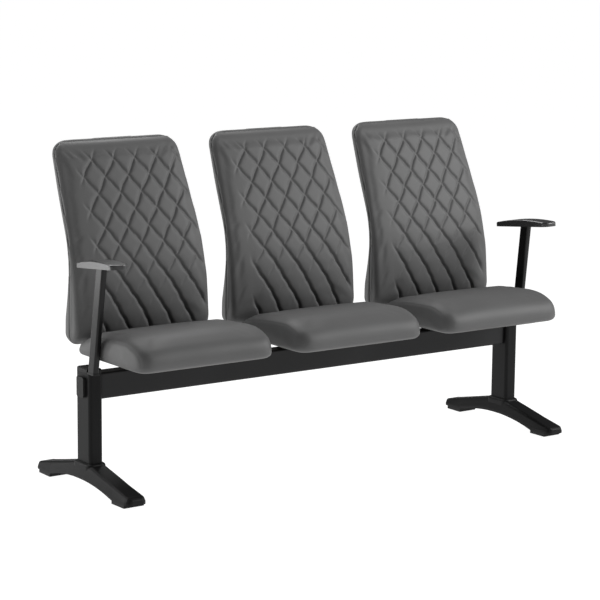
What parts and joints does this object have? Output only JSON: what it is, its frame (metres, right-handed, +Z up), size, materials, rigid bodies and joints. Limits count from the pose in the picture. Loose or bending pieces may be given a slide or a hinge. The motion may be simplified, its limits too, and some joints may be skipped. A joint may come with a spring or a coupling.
{
  "type": "beam seating",
  "caption": "Beam seating with upholstered places, diamond-quilted backs, T-shaped arms and arched feet on a black steel beam.",
  "frame": {"origin": "bottom centre of the bounding box, on the floor", "axes": "+X along the beam towards the right arm as seen from the front, -Y towards the front of the seats, +Z up"},
  "size_m": [1.6976, 0.5878, 1.02],
  "materials": {
    "frame_paint": "satin black powder coat",
    "foot_paint": "satin black paint on a casting",
    "bare_steel": "plain",
    "zinc_bolt": "zinc plated",
    "black_screw": "black oxide",
    "glide_steel": "zinc plated",
    "black_plastic": "fine grain",
    "pad_plastic": "soft satin",
    "seat_leather": "grained synthetic leather",
    "back_leather": "grained synthetic leather, diamond quilted",
    "cover_leather": "grained synthetic leather",
    "plywood": "clear sealed plywood"
  },
  "bodies": {
    "seating": {"beam_tube": "frame_paint", "beam_end_plate_left": "frame_paint", "beam_end_plate_right": "frame_paint", "beam_bolts": "zinc_bolt", "column_left": "frame_paint", "column_right": "frame_paint", "column_base_left": "bare_steel", "column_base_right": "bare_steel", "foot_left": "foot_paint", "foot_right": "foot_paint", "foot_bolts": "zinc_bolt", "shoe_left_front": "black_plastic", "shoe_left_rear": "black_plastic", "shoe_right_front": "black_plastic", "shoe_right_rear": "black_plastic", "column_cap_left": "black_plastic", "column_cap_right": "black_plastic", "end_cover_left": "black_plastic", "end_cover_right": "black_plastic", "cover_screws": "black_screw", "arm_post_left": "frame_paint", "arm_post_right": "frame_paint", "arm_bolts": "zinc_bolt", "arm_pad_left": "pad_plastic", "arm_pad_right": "pad_plastic", "pad_screws": "zinc_bolt", "seat_cushion_left": "seat_leather", "seat_board_left": "plywood", "seat_bracket_left": "frame_paint", "bracket_bolts_left": "zinc_bolt", "seat_bolts_left": "zinc_bolt", "back_strap_left": "frame_paint", "back_board_left": "plywood", "back_bolts_left": "zinc_bolt", "back_cushion_left": "back_leather", "back_cover_left": "cover_leather", "seat_cushion_centre": "seat_leather", "seat_board_centre": "plywood", "seat_bracket_centre": "frame_paint", "bracket_bolts_centre": "zinc_bolt", "seat_bolts_centre": "zinc_bolt", "back_strap_centre": "frame_paint", "back_board_centre": "plywood", "back_bolts_centre": "zinc_bolt", "back_cushion_centre": "back_leather", "back_cover_centre": "cover_leather", "seat_cushion_right": "seat_leather", "seat_board_right": "plywood", "seat_bracket_right": "frame_paint", "bracket_bolts_right": "zinc_bolt", "seat_bolts_right": "zinc_bolt", "back_strap_right": "frame_paint", "back_board_right": "plywood", "back_bolts_right": "zinc_bolt", "back_cushion_right": "back_leather", "back_cover_right": "cover_leather"},
    "glide_left_front": {"glide_left_front": "glide_steel"},
    "glide_left_rear": {"glide_left_rear": "glide_steel"},
    "glide_right_front": {"glide_right_front": "glide_steel"},
    "glide_right_rear": {"glide_right_rear": "glide_steel"}
  },
  "joints": [
    {"name": "glide_left_front_level", "type": "slide", "parent": "seating", "child": "glide_left_front", "axis": [0, 0, -1], "range_m": [0, 0.008]},
    {"name": "glide_left_rear_level", "type": "slide", "parent": "seating", "child": "glide_left_rear", "axis": [0, 0, -1], "range_m": [0, 0.008]},
    {"name": "glide_right_front_level", "type": "slide", "parent": "seating", "child": "glide_right_front", "axis": [0, 0, -1], "range_m": [0, 0.008]},
    {"name": "glide_right_rear_level", "type": "slide", "parent": "seating", "child": "glide_right_rear", "axis": [0, 0, -1], "range_m": [0, 0.008]}
  ]
}
